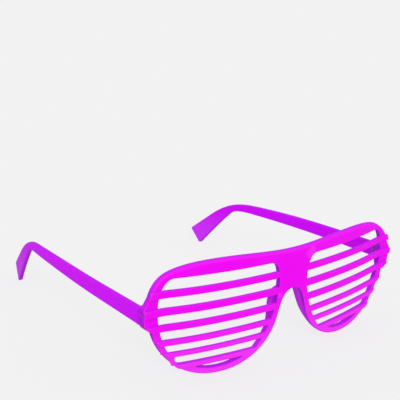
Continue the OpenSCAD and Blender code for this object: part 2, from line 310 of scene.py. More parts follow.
@dataclass
class Plate:
    """A moulded wall with rounded edges, drawn flat and laid on a surface.

    Attributes:
        outer: The drawing's outline.
        holes: The outlines of the openings.
        thickness: Thickness of the wall.
        front_round: Radius of the front edges, or a function of a loop's points.
        back_round: Radius of the back edges.
        spacing: Distance between neighbours along the outlines.
        grid: Distance between the points inside the faces.
        rings: Pieces in the rounding of an edge.
        depth: Depth of the front face below the surface it is laid on.
        seam: Height of the fine line that the mould's parting leaves round the edges.
    """

    outer: Sequence[Point]
    holes: Sequence[Sequence[Point]] = ()
    thickness: float = 2.7
    front_round: float | Callable[[np.ndarray], np.ndarray] = 0.45
    back_round: float = 0.4
    spacing: float = 1.3
    grid: float = 2.4
    rings: int = 4
    depth: float = 0.0
    seam: float = 0.0

    def loops(self) -> list[np.ndarray]:
        """Spaces the outlines evenly.

        Returns:
            The outer loop, anticlockwise, and the holes, clockwise.
        """
        found = []
        for n, points in enumerate([self.outer, *self.holes]):
            loop = spaced(points, self.spacing)
            if (signed_area(loop) > 0) != (n == 0):
                loop = loop[::-1]
            found.append(loop)
        return found

    def radii(self, loop: np.ndarray) -> np.ndarray:
        """Gives the radius of the front edge round a loop.

        Args:
            loop: The loop.

        Returns:
            The radius at each of its points.
        """
        if callable(self.front_round):
            return self.front_round(loop)
        return np.full(len(loop), float(self.front_round))

    @staticmethod
    def eased(loop: np.ndarray, radius: np.ndarray) -> np.ndarray:
        """Makes a radius small enough at tight corners that no edge folds over.

        Args:
            loop: The loop, with the material on its left.
            radius: The radius wanted at each point.

        Returns:
            The radius at each point, changing slowly along the loop.
        """
        most_turn, room_share, passes, slope = 2.8, 0.8, 12, 0.5
        step = np.roll(loop, -1, 0) - loop
        length = np.linalg.norm(step, axis=1)
        before = np.roll(step, 1, 0)
        turn = np.arctan2(before[:, 0] * step[:, 1] - before[:, 1] * step[:, 0], np.sum(before * step, 1))
        lean = np.tan(np.clip(turn, 0, most_turn) / 2)
        room = room_share * length / np.maximum(lean + np.roll(lean, -1), 1e-6)
        held = np.minimum(radius, np.minimum(room, np.roll(room, 1)))
        for _ in range(passes):
            held = np.minimum(held, np.roll(held, 1) + slope * np.roll(length, 1))
            held = np.minimum(held, np.roll(held, -1) + slope * length)
        return held

    @staticmethod
    def inset(loop: np.ndarray, distance: np.ndarray) -> np.ndarray:
        """Moves each point of a loop into the material.

        Args:
            loop: The loop, with the material on its left.
            distance: How far each point's two sides move.

        Returns:
            The moved loop.
        """
        into = turned_left(unit_rows(loop - np.roll(loop, 1, 0)))
        out_of = np.roll(into, -1, 0)
        reach = np.maximum(1 + np.sum(into * out_of, 1), 0.4)
        return loop + (into + out_of) / reach[:, None] * distance[:, None]

    def edge_rings(self, loop: np.ndarray) -> list[tuple[np.ndarray, np.ndarray]]:
        """Draws the rings round one loop, from the front face over the edge to the back.

        Args:
            loop: The loop.

        Returns:
            Each ring's drawn points and their depths.
        """
        front = self.eased(loop, self.radii(loop))
        back = self.eased(loop, np.full(len(loop), self.back_round))
        turns = np.linspace(0, math.pi / 2, self.rings + 1)
        found = [(self.inset(loop, front * (1 - math.cos(t))), front * (1 - math.sin(t)))
                 for t in turns[::-1]]
        if self.seam:
            middle = (front + self.thickness - back) / 2
            for side, lift in ((-1, 0.0), (0, self.seam), (1, 0.0)):
                found.append((self.inset(loop, np.full(len(loop), -lift)), middle + side * self.seam))
        found += [(self.inset(loop, back * (1 - math.cos(t))), self.thickness - back * (1 - math.sin(t)))
                  for t in turns]
        return found

    def grid_points(self, edges: list[np.ndarray]) -> np.ndarray:
        """Spreads points over the flat area inside the innermost rings.

        Args:
            edges: The innermost ring of each loop.

        Returns:
            The points that keep clear of the rings, one a row.
        """
        low, high = edges[0].min(0), edges[0].max(0)
        across = np.arange(low[0] + self.grid / 2, high[0], self.grid)
        up = np.arange(low[1] + self.grid / 2, high[1], self.grid)
        points = np.stack(np.meshgrid(across, up), -1).reshape(-1, 2)
        # A slight slant, as four points on one circle leave the triangles undecided.
        points[:, 0] += 1e-4 * points[:, 1]
        if not len(points):
            return points
        clear = inside(points, edges[0])
        for cut in edges[1:]:
            clear &= ~inside(points, cut)
        rims = np.concatenate(edges)
        gaps = np.min(np.linalg.norm(points[:, None] - rims[None], axis=2), 1)
        return points[clear & (gaps > 0.5 * self.grid)]

    def faces_between(self, edges: list[np.ndarray]) -> tuple[np.ndarray, list[tuple[int, ...]]]:
        """Fills the flat area between the innermost rings.

        Args:
            edges: The innermost ring of each loop.

        Returns:
            The grid points added, and triangles over the rings' points followed by them.
        """
        added = self.grid_points(edges)
        bonds, start = [], 0
        for edge in edges:
            count = len(edge)
            bonds += [(start + i, start + (i + 1) % count) for i in range(count)]
            start += count
        made = delaunay_2d_cdt([Vector(p) for p in np.concatenate([*edges, added])], bonds, [], 0, 1e-6)
        corners, triangles, origin = made[0], made[2], made[3]
        tri = np.array([[corners[i][:] for i in t] for t in triangles])
        centres, a, b = tri.mean(1), tri[:, 1] - tri[:, 0], tri[:, 2] - tri[:, 0]
        keep = inside(centres, edges[0]) & (np.abs(a[:, 0] * b[:, 1] - a[:, 1] * b[:, 0]) > SLIVER)
        for cut in edges[1:]:
            keep &= ~inside(centres, cut)
        chosen = [tuple(origin[i][0] for i in t) for t, good in zip(triangles, keep)
                  if good and all(len(origin[i]) for i in t)]
        return added, chosen

    def mesh(self, place: Place) -> bmesh.types.BMesh:
        """Builds the closed wall.

        Args:
            place: The placing of the drawing.

        Returns:
            The mesh, in metres.
        """
        bm = bmesh.new()

        def ring(flat: np.ndarray, depths: np.ndarray) -> list[bmesh.types.BMVert]:
            """Vertices over drawn points at their depths."""
            where = place(flat[:, 0], flat[:, 1], depths + self.depth) * MM
            return [bm.verts.new(p) for p in where]

        drawn = [self.edge_rings(loop) for loop in self.loops()]
        built = []
        for rings in drawn:
            built.append([ring(flat, depths) for flat, depths in rings])
            bridge(bm, built[-1])
        for end, level in ((0, 0.0), (-1, self.thickness)):
            added, triangles = self.faces_between([rings[end][0] for rings in drawn])
            verts = [vert for rings in built for vert in rings[end]]
            if len(added):
                verts += ring(added, np.full(len(added), level))
            filled = [bm.faces.new([verts[i] for i in corners]) for corners in triangles]
            bmesh.ops.join_triangles(bm, faces=filled, angle_face_threshold=0.1, angle_shape_threshold=0.7)
        return bm

    def build(self, name: str, place: Place) -> Piece:
        """Builds the wall as an object of that name."""
        return make_object(name, self.mesh(place))


@dataclass(frozen=True)
class Bow:
    """A bow seen from above that runs on straight past flat_x.

    Attributes:
        radius: Radius of the bow.
        set_back: How far the bow's middle lies behind the front of the bridge.
        flat_x: Distance from the middle past which it runs straight across.
        ease: Length over which it straightens.
    """

    radius: float
    set_back: float = 0.0
    flat_x: float = 66.0
    ease: float = 5.0

    def y(self, x: np.ndarray | float) -> np.ndarray:
        """Gives how far back the bow lies.

        Args:
            x: Distances from the middle.

        Returns:
            Distances behind the front of the bridge.
        """
        away = np.abs(np.asarray(x, float))
        start = self.flat_x - self.ease / 2
        slope = start / math.sqrt(self.radius**2 - start**2)
        held = np.minimum(away, start)
        past = np.clip(away - start, 0, self.ease)
        return (self.set_back + self.radius - np.sqrt(self.radius**2 - held**2)
                + slope * (past - past**2 / (2 * self.ease)))


@dataclass
class FrontDrawing:
    """Half of the front drawn flat, and how it is laid on the bow.

    Attributes:
        foot_lift: How much the tilted drawing is lowered so that its foot is on the floor.
        front_y: Where the front of the bridge lies in the model.
    """

    rim_half_w: float = 72.9
    rim_side_z: float = 33.0
    crown: Point = (38.0, 50.15)
    bridge_top_z: float = 48.7
    notch_z: float = 30.8
    flank: Point = (8.2, 21.0)
    foot_x: float = 38.6
    end_half_w: float = 75.3
    bridge_w: float = 17.4
    rim_side_w: float = 5.1
    brow_z: float = 44.6
    lens_foot_z: float = 5.4
    opening_round: float = 0.8
    corner_gap: float = 1.0
    crescent_l: float = 24.0
    crescent_w: float = 2.7
    crescent_z: float = 4.85
    crescent_end: float = 7.0
    crescent_sag: float = 0.4
    lobe_over: float = 1.0
    lobe_in: float = 0.6
    lobe_foot: float = 4.6
    lobe_round: float = 1.0
    rake: float = math.radians(9)
    slat_z: tuple[float, ...] = (36.9, 29.45, 22.65, 16.2, 10.85, 5.15)
    slat_h: tuple[float, ...] = (3.0, 3.1, 2.85, 2.5, 2.15, 2.1)
    slat_rise: float = 0.6
    rise_from_x: float = 42.0
    row_top_x: tuple[float, ...] = (72.2, 75.3, 75.1, 69.7, 66.3, 61.2)
    row_low_x: tuple[float, ...] = (73.2, 75.0, 70.8, 67.2, 63.6, 58.3)
    low_slat_x: float = 32.0
    sill: float = 0.7
    slat_root: float = 1.6
    root_land: float = 1.0
    rim_bow: Bow = Bow(300.0)
    slat_bow: Bow = Bow(345.0, 0.08)
    foot_lift: float = field(init=False)
    front_y: float = field(init=False)

    def __post_init__(self) -> None:
        """Works out the lift of the tilt and where the front lies."""
        self.foot_lift = float(self.rim_bow.y(self.foot_x)) * math.tan(self.rake)
        self.front_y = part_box("front_frame")[0].y / MM

    @property
    def lobe_top_z(self) -> float:
        """Height of the end piece's top."""
        return self.slat_z[0] + self.lobe_over

    def slat_top(self, row: int) -> float:
        """Height of a slat's upper edge."""
        return self.slat_z[row] + self.slat_h[row]

    def brow(self) -> list[Point]:
        """Draws the top edge.

        Returns:
            Its points, from the middle to the widest point of the rim.
        """
        top, crown, side = (0.0, self.bridge_top_z), self.crown, (self.rim_half_w, self.rim_side_z)
        return (curve(top, share(top, crown, 0.37, 0), share(top, crown, 0.63, 1), crown)
                + curve(crown, share(crown, side, 0.55, 0), share(crown, side, 1, 0.13), side))

    def cheek(self) -> list[Point]:
        """Draws the lower edge.

        Returns:
            Its points, from the widest point of the rim to its foot.
        """
        side, foot = (self.rim_half_w, self.rim_side_z), (self.foot_x, 0.0)
        return curve(side, share(side, foot, 0.035, 0.52), share(side, foot, 0.36, 1), foot)

    def notch(self) -> list[Point]:
        """Draws the nose notch.

        Returns:
            Its points, from the rim's foot up to the middle of the bridge.
        """
        foot, flank, top = (self.foot_x, 0.0), self.flank, (0.0, self.notch_z)
        return (curve(foot, share(foot, flank, 0.54, 0), share(foot, flank, 0.91, 0.43), flank)
                + curve(flank, share(flank, top, 0.19, 0.54), share(flank, top, 0.38, 1), top))

    @staticmethod
    def across(edge: Sequence[Point], z: np.ndarray | float) -> np.ndarray | float:
        """Distances from the middle to an edge that climbs, at heights z."""
        line = np.array(edge)
        return np.interp(z, line[:, 1], line[:, 0])

    def edge_x(self, z: np.ndarray | float) -> np.ndarray | float:
        """Distances from the middle to the rim's own edge at heights z."""
        # The brow's outer half, from a little past the crown, where it starts to fall.
        shoulder = self.brow()[CURVE_STEPS + 5:]
        return self.across([*shoulder, *self.cheek(), (self.foot_x, 0.0)][::-1], z)

    def side_x(self, z: float) -> float:
        """Distance from the middle to the outer side of an opening at height z."""
        return self.across(self.lens()[2 * CURVE_STEPS:3 * CURVE_STEPS + 1], z)

    def nose_x(self, z: float) -> float:
        """Distance from the middle to the nose side of an opening at height z."""
        return self.across(self.lens()[:2 * CURVE_STEPS + 1][::-1], z)

    def root_x(self, z: float) -> float:
        """Distance from the middle to a slat's root, sunk into the rim beside the nose."""
        edge = self.across(self.notch(), z)
        return max(self.nose_x(max(z, self.lens_foot_z)) - self.slat_root, edge + self.root_land)

    def lobe(self) -> list[Point]:
        """Draws the end piece's edge beside the rim.

        Returns:
            Its corners, from the top down.
        """
        top, reach = self.lobe_top_z, self.end_half_w
        return [(self.edge_x(top), top), (reach, self.slat_top(1) + self.slat_rise),
                (reach - self.lobe_in, self.slat_top(2) + 0.8 * self.slat_rise),
                (reach - self.lobe_foot, self.slat_z[2])]

    def outline(self) -> list[Point]:
        """Draws the whole front's outline.

        Returns:
            Both sides with their end pieces, as one closed line.
        """
        high, low = self.lobe_top_z, self.slat_z[2]
        half = [p for p in self.brow() if p[1] > high] + self.lobe()
        half += [p for p in self.cheek() if p[1] < low and p[1] < self.rim_side_z] + self.notch()
        half.append((0.0, self.notch_z))
        return rounded(half + [(-x, z) for x, z in half[::-1] if x > 0], self.lobe_round, 15.0)

    def lens(self) -> list[Point]:
        """Draws one lens opening at its full height.

        Returns:
            The opening, from its upper corner at the nose down and round.
        """
        low, high = (self.bridge_w / 2, self.lens_foot_z), (self.rim_half_w - self.rim_side_w, self.brow_z)

        def at(u: float, v: float) -> Point:
            """A point at shares of the opening's width and height."""
            return share(low, high, u, v)
        return [*curve(at(0.09, 1), at(0.03, 0.99), at(0.012, 0.93), at(0, 0.81)),
                *curve(at(0, 0.81), at(-0.014, 0.59), at(0.056, 0.24), at(0.217, 0)),
                *curve(at(0.803, 0), at(0.99, 0.21), at(1.027, 0.61), at(1, 0.81)),
                *curve(at(1, 0.81), at(0.986, 0.9), at(0.947, 0.99), at(0.896, 1)),
                at(0.896, 1)]

    def opening(self) -> list[Point]:
        """Cuts a lens opening off a little below the top of the lowest slat.

        Returns:
            The opening that the rim has.
        """
        floor = self.slat_top(-1) - self.sill
        loop, kept = self.lens(), []
        for here, ahead in zip(loop, loop[1:] + loop[:1]):
            if here[1] >= floor + self.corner_gap:
                kept.append(here)
            if (here[1] >= floor) != (ahead[1] >= floor):
                on_way = (floor - here[1]) / (ahead[1] - here[1])
                kept.append((here[0] + on_way * (ahead[0] - here[0]), floor))
        return rounded(kept, self.opening_round)

    def crescent(self) -> list[Point]:
        """Draws the slot under one lens opening.

        Returns:
            The slot, straight along its top.
        """
        low, high = self.crescent_z - self.crescent_w - self.crescent_sag, self.crescent_z
        x0, x1 = self.foot_x - self.crescent_l / 2, self.foot_x + self.crescent_l / 2
        return [*curve((x0, high), (x0 + self.crescent_end, low), (x1 - self.crescent_end, low), (x1, high)),
                (x1, high)]

    def both(self, loop: Sequence[Point]) -> list[list[Point]]:
        """A loop of the left side and its mirror image."""
        return [list(loop), [(-x, z) for x, z in loop]]

    def rise(self, x: np.ndarray) -> np.ndarray:
        """How much a slat climbs towards its outer end."""
        share_out = np.clip((np.abs(x) - self.rise_from_x) / (self.end_half_w - self.rise_from_x), 0, 1)
        return self.slat_rise * share_out**2

    def laid(self, x: np.ndarray, zd: np.ndarray, y: np.ndarray) -> np.ndarray:
        """Lays drawn points at a distance y behind the front of the bridge.

        Args:
            x: Distances from the middle.
            zd: Drawn heights.
            y: Distances behind the front of the bridge.

        Returns:
            Places in mm, one a row.
        """
        z = zd / math.cos(self.rake) + y * math.tan(self.rake) - self.foot_lift
        return np.stack([x, y + self.front_y, np.maximum(z, 0.0)], 1)

    def on_rim(self, x: np.ndarray, zd: np.ndarray, depth: np.ndarray) -> np.ndarray:
        """The Place of a drawing on the rim's bow."""
        return self.laid(x, zd, self.rim_bow.y(x) + depth)


@dataclass
class Front:
    """The one-piece front: rim, slats, end pieces and nose pads.

    The lugs are the stubs that fill the stair between the lower slats' ends, and the end
    blocks stand behind the end pieces and hold the hinges.
    """

    drawing: FrontDrawing
    rim_t: float = 2.7
    rim_spacing: float = 1.1
    brow_round: float = 1.15
    brow_from_z: float = 41.0
    brow_fade: float = 5.0
    edge_round: float = 0.5
    lens_round: float = 0.35
    back_round: float = 0.45
    seam: float = 0.05
    slat_t: float = 1.5
    slat_round: float = 0.4
    slat_corner: float = 0.7
    thin_share: float = 0.9
    thin_from: float = 2.0
    thin_over: float = 1.2
    lug_t: float = 0.7
    lug_depth: float = 0.02
    lug_w: float = 2.4
    lug_overlap: float = 0.4
    lug_cover: float = 1.2
    pad_depth: float = 7.4
    pad_root: float = 2.1
    pad_t: float = 1.8
    pad_round: float = 0.6
    pad_overlap: float = 1.2
    pad_low_z: float = 6.0
    pad_top_x: float = 3.0
    pad_start: float = 5.0
    pad_fade: float = 24.0
    pad_spacing: float = 0.7
    end_back_y: float = 11.2375
    end_inner_x: float = 68.7
    end_z: float = 31.0
    end_h: float = 9.6
    end_foot: float = 0.4
    end_depth: float = 3.5
    cover: float = 0.05

    def rim_round(self, loop: np.ndarray) -> np.ndarray:
        """Gives the radius of the rim's front edge: broad along the brow, small elsewhere.

        Args:
            loop: A loop of the rim.

        Returns:
            The radius at each of its points.
        """
        if np.ptp(loop[:, 0]) < 2 * self.drawing.foot_x:
            return np.full(len(loop), self.lens_round)
        rise = smooth((loop[:, 1] - self.brow_from_z) / self.brow_fade)
        return self.edge_round + (self.brow_round - self.edge_round) * rise

    def rim(self) -> Piece:
        """Builds the rim with its openings and crescent slots.

        Returns:
            The rim.
        """
        drawing = self.drawing
        holes = drawing.both(drawing.opening()) + drawing.both(drawing.crescent())
        plate = Plate(drawing.outline(), holes, self.rim_t, self.rim_round, self.back_round,
                      self.rim_spacing, seam=self.seam)
        return plate.build("front_rim", drawing.on_rim)

    def pair(self, name: str, outline: list[Point], place: Place, **sizes: float) -> list[Piece]:
        """Builds a plate for each side from the left one's outline.

        Args:
            name: The name of both, without the side.
            outline: The outline of the left one.
            place: The placing of the drawing.
            sizes: The plate's other sizes.

        Returns:
            The left one and the right one.
        """
        return [Plate(loop, **sizes).build(f"{side.word}_{name}", place)
                for side, loop in zip(Side, self.drawing.both(outline))]

    def slat_outline(self, row: int) -> list[Point]:
        """Draws one slat of the left side.

        Args:
            row: The slat's row, from the top.

        Returns:
            Its outline. The lowest slat runs into the rim beside the nose.
        """
        drawing = self.drawing
        low, high = drawing.slat_z[row], drawing.slat_top(row)
        ends = [(drawing.row_low_x[row], low), (drawing.row_top_x[row], high), (drawing.root_x(high), high)]
        if row == len(drawing.slat_z) - 1:
            return [(drawing.root_x(high), high - drawing.sill), (drawing.low_slat_x, low), *ends]
        return [(drawing.root_x(low), low), *ends]

    def on_slats(self, x: np.ndarray, zd: np.ndarray, depth: np.ndarray) -> np.ndarray:
        """Places the slats on their bow, a little thinner where they stand out past the rim.

        Args:
            x, zd, depth: The drawn distances and the depth.

        Returns:
            Places in mm, one a row.
        """
        drawing = self.drawing
        out = smooth((np.abs(x) - drawing.edge_x(zd) + self.thin_from) / self.thin_over)
        held = depth * (1 - (1 - self.thin_share) * out)
        return drawing.laid(x, zd + drawing.rise(x), drawing.slat_bow.y(x) + held)

    def slats(self) -> list[Piece]:
        """Builds the slats.

        Returns:
            Six for each side, from the top down.
        """
        return [piece for row in range(len(self.drawing.slat_z))
                for piece in self.pair(f"slat_{row + 1}", rounded(self.slat_outline(row), self.slat_corner),
                                       self.on_slats, thickness=self.slat_t, front_round=self.slat_round,
                                       back_round=0.35, spacing=1.0)]

    def lugs(self) -> list[Piece]:
        """Builds the stubs between the lower slats' ends.

        Returns:
            Three for each side.
        """
        drawing, made = self.drawing, []
        for row in (2, 3, 4):
            high, low = drawing.slat_z[row] + self.lug_overlap, drawing.slat_top(row + 1) - self.lug_overlap
            tips = drawing.row_low_x[row], drawing.row_top_x[row + 1]
            inner = max(drawing.edge_x(low) - self.lug_w, drawing.side_x(high) + self.lug_overlap)
            inner = min(inner, *(tip - self.lug_cover for tip in tips))
            loop = [(inner, low), (tips[1], low), (tips[0], high), (inner, high)]
            made += self.pair(f"lug_{row}", rounded(loop, 0.3), drawing.on_rim, thickness=self.lug_t,
                              front_round=0.3, back_round=0.3, spacing=0.8, depth=self.lug_depth)
        return made

    def upright(self, x: np.ndarray, z: np.ndarray, depth: np.ndarray) -> np.ndarray:
        """The Place of the end blocks, whose back faces are square to the temples."""
        start = self.drawing.front_y + (self.end_back_y + self.cover) - self.end_depth
        return np.stack([x, start + depth, z], 1)

    def end_blocks(self) -> list[Piece]:
        """Builds the blocks behind the end pieces.

        Returns:
            One for each side.
        """
        low, high = self.end_z - self.end_h / 2 - self.end_foot, self.end_z + self.end_h / 2
        outer = self.drawing.end_half_w
        loop = [(self.end_inner_x, low), (outer - 1.9, low), (outer - 0.6, low + 1.5), (outer, high - 3.4),
                (outer - 0.9, high), (self.end_inner_x, high)]
        return self.pair("end_block", rounded(loop, 0.8), self.upright, thickness=self.end_depth,
                         front_round=0.3, back_round=0.35, spacing=0.6)

    def pad_reach(self, along: np.ndarray) -> np.ndarray:
        """Gives how far back a nose pad reaches.

        Args:
            along: Distances along the pad from its upper end.

        Returns:
            The reach at each of them.
        """
        start = np.clip(along / self.pad_start, 0, 1)
        rise = np.minimum(np.sqrt(1 - (1 - start) ** 2), smooth((along[-1] - along) / self.pad_fade))
        return self.pad_root + (self.pad_depth - self.pad_root) * rise

    def pad_cut(self, reach: float) -> np.ndarray:
        """Draws a pad's cross-section.

        Args:
            reach: How far back it reaches there.

        Returns:
            The outline: distances into the moulding and depths.
        """
        turns = np.linspace(0, math.pi / 2, 5)
        radius, front = self.pad_round, self.pad_root - self.pad_overlap
        inner = [(radius * (1 - math.cos(t)), reach - radius * (1 - math.sin(t))) for t in turns]
        outer = [(self.pad_t - radius * (1 - math.sin(t)), reach - radius * (1 - math.cos(t))) for t in turns]
        return np.array([(0, front), *inner, *outer, (self.pad_t, front)])

    def pads(self) -> list[Piece]:
        """Builds the two moulded nose pads, which run down behind the notch.

        Returns:
            One for each side.
        """
        drawing, made = self.drawing, []
        line = evenly(np.array(drawing.notch()[::-1]), self.pad_spacing)
        line = line[(line[:, 0] > self.pad_top_x) & (line[:, 1] > self.pad_low_z)]
        normal = turned_left(unit_rows(np.gradient(line, axis=0)))
        for side in Side:
            bm = bmesh.new()
            rings = []
            for point, into, reach in zip(line, normal, self.pad_reach(along_line(line))):
                cut = self.pad_cut(float(reach))
                flat = point + cut[:, :1] * into
                where = drawing.on_rim(side.value * flat[:, 0], flat[:, 1], cut[:, 1])
                rings.append([bm.verts.new(p) for p in where * MM])
            bridge(bm, rings)
            bm.faces.new(rings[0])
            bm.faces.new(rings[-1])
            made.append(make_object(f"{side.word}_nose_pad", bm))
        return made

    def build(self) -> list[Piece]:
        """Builds the moulding in three pieces that stand in for its node.

        Returns:
            The rim, the slats and the nose pads.
        """
        pieces = [join("front_rim", [self.rim(), *self.lugs(), *self.end_blocks()]),
                  join("front_slats", self.slats()), join("nose_pads", self.pads())]
        for piece in pieces:
            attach(piece, "front")
            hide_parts("front_frame")
        return pieces

    def dress(self, pieces: Sequence[Piece], finish: "Plastic") -> None:
        """Gives every piece of the front its moulded plastic."""
        for piece in pieces:
            piece.data.materials.append(finish.material())


@dataclass
class Temple:
    """One temple with its ear bend.

    Attributes:
        side: The side it is on.
        front_y: Where the front of the bridge lies in the model.
        tip_top: Where the tip's upper edge starts: how far behind the start of the bend and how
            far below the neck's upper edge.
        throat: Where the bend's underside ends, in the same way but below the neck's lower edge.
        sole: The handle that hollows the tip's underside, as for the throat.
        cover: How much thicker the temple is than its solid, over the sunk hinge plate.
    """

    side: Side
    front_y: float
    root_y: float = 11.3875
    temple_l: float = 94.7
    outer_x: float = 75.0
    thickness: float = 2.6
    root_z: float = 34.8
    root_h: float = 7.6
    shank_z: float = 27.6
    neck_h: float = 4.9
    neck_top_z: float = 32.2
    lean: float = 3.8
    tip_l: float = 45.0
    tip_top: Point = (29.7, 11.7)
    tip_end_w: float = 11.2
    tip_cut: float = math.radians(50)
    tip_lean: float = 9.2
    tip_r: float = 3.2
    throat: Point = (15.2, 3.1)
    sole: Point = (29.7, 18.3)
    edge_round: float = 0.95
    root_round: float = 0.9
    cover: float = 0.05
    seam: float = 0.04

    @property
    def bend_y(self) -> float:
        """Where the ear bend starts."""
        return self.root_y + self.temple_l

    def rounded_off(self, a: float, b: float) -> float:
        """How far a rounded corner stays above its sharp one, between sides that climb by a and b."""
        return self.tip_r * a * b / (math.sqrt(a) + math.sqrt(b)) ** 2

    def round_corner(self, a: np.ndarray, b: np.ndarray, c: np.ndarray) -> list[Point]:
        """A round corner at b, between the sides to a and c."""
        u, v = (a - b) / np.linalg.norm(a - b), (c - b) / np.linalg.norm(c - b)
        return curve(tuple(b + u * self.tip_r), tuple(b), tuple(b), tuple(b + v * self.tip_r), 8)

    def tip(self, top: np.ndarray, sole: np.ndarray) -> list[Point]:
        """Draws the cut end of the tip, whose heel rests on the floor.

        Args:
            top: Where the upper edge comes from.
            sole: Where the lower edge leads to.

        Returns:
            The two rounded corners and the start of the lower edge.
        """
        cut = np.array([math.cos(self.tip_cut), math.sin(self.tip_cut)])
        floor = np.array([self.bend_y + self.tip_l - self.tip_end_w * cut[0], 0.0])
        slope = (sole - floor)[1] / np.linalg.norm(sole - floor)
        heel = floor - [0, self.rounded_off(cut[1], slope)]
        end = heel + self.tip_end_w * cut
        ball = heel + self.tip_r * (sole - heel) / np.linalg.norm(sole - heel)
        return [*self.round_corner(top, end, heel), *self.round_corner(end, heel, sole), tuple(ball)]

    def side_outline(self) -> list[Point]:
        """Draws the temple seen from its side.

        Returns:
            Its outline: distances back and heights.
        """
        bend, root, neck_z = self.bend_y, self.root_y, self.neck_top_z - self.neck_h
        root_low = (root, self.root_z - self.root_h)

        def at(back: float, drop: float, level: float = neck_z) -> Point:
            """A point behind the start of the bend and below a level, the neck's lower edge."""
            return bend + back, level - drop
        top, throat, sole = at(*self.tip_top, self.neck_top_z), at(*self.throat), at(*self.sole)
        *tip, ball = self.tip(np.array(top), np.array(sole))
        return [*curve((root, self.root_z), (root + 0.4 * self.temple_l, self.root_z - 0.3),
                       (root + 0.7 * self.temple_l, self.root_z - 0.5), (bend, self.neck_top_z)),
                *curve((bend, self.neck_top_z), (bend + 0.26 * self.tip_l, self.neck_top_z - 0.8),
                       (bend + 0.43 * self.tip_l, top[1] + 8.2), top),
                *tip,
                *curve(ball, sole, at(21.8, 9.4), throat),
                *curve(throat, at(12.4, 0.7), at(7, 0), at(-4, 0)),
                *curve(at(-4, 0), (root + 0.7 * self.temple_l, self.shank_z + 0.2),
                       (root + 0.35 * self.temple_l, self.shank_z + 0.1), root_low),
                root_low]

    @cached_property
    def plan(self) -> np.ndarray:
        """Draws the outer face seen from above, once.

        Returns:
            Its line, one point a row: the distance back and the distance from the middle.
        """
        lean_y, bend, bend_x = self.root_y + 0.3 * self.temple_l, self.bend_y, self.outer_x - self.lean
        tip_y, tip_x = bend + self.tip_l, bend_x - self.tip_lean
        return np.array([(self.root_y, self.outer_x),
                         *curve((lean_y, self.outer_x), (lean_y + 0.26 * self.temple_l, self.outer_x),
                                (bend - 0.17 * self.temple_l, bend_x + 0.45 * self.lean), (bend, bend_x)),
                         *curve((bend, bend_x), (bend + 0.32 * self.tip_l, bend_x - 0.23 * self.tip_lean),
                                (bend + 0.67 * self.tip_l, bend_x - 0.58 * self.tip_lean), (tip_y, tip_x)),
                         (tip_y, tip_x)])

    def on_plan(self, y: np.ndarray, z: np.ndarray, depth: np.ndarray) -> np.ndarray:
        """The Place of the side drawing on the plan's line, with depths running inwards."""
        x = np.interp(y, self.plan[:, 0], self.plan[:, 1]) - depth
        return np.stack([self.side.value * x, y + self.front_y, np.maximum(z, 0.0)], 1)

    def build(self) -> Piece:
        """Builds the temple, which stands in for its node.

        Returns:
            The piece.
        """
        plate = Plate(rounded(self.side_outline(), self.root_round, 60), (), self.thickness + self.cover,
                      self.edge_round, self.edge_round, spacing=1.2, grid=1.8, rings=6, seam=self.seam)
        piece = plate.build(f"{self.side.word}_temple_arm", self.on_plan)
        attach(piece, f"{self.side.word}_arm")
        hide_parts(f"{self.side.word}_temple")
        return piece

    def dress(self, piece: Piece, finish: "Plastic") -> None:
        """Gives the temple its moulded plastic."""
        piece.data.materials.append(finish.material())


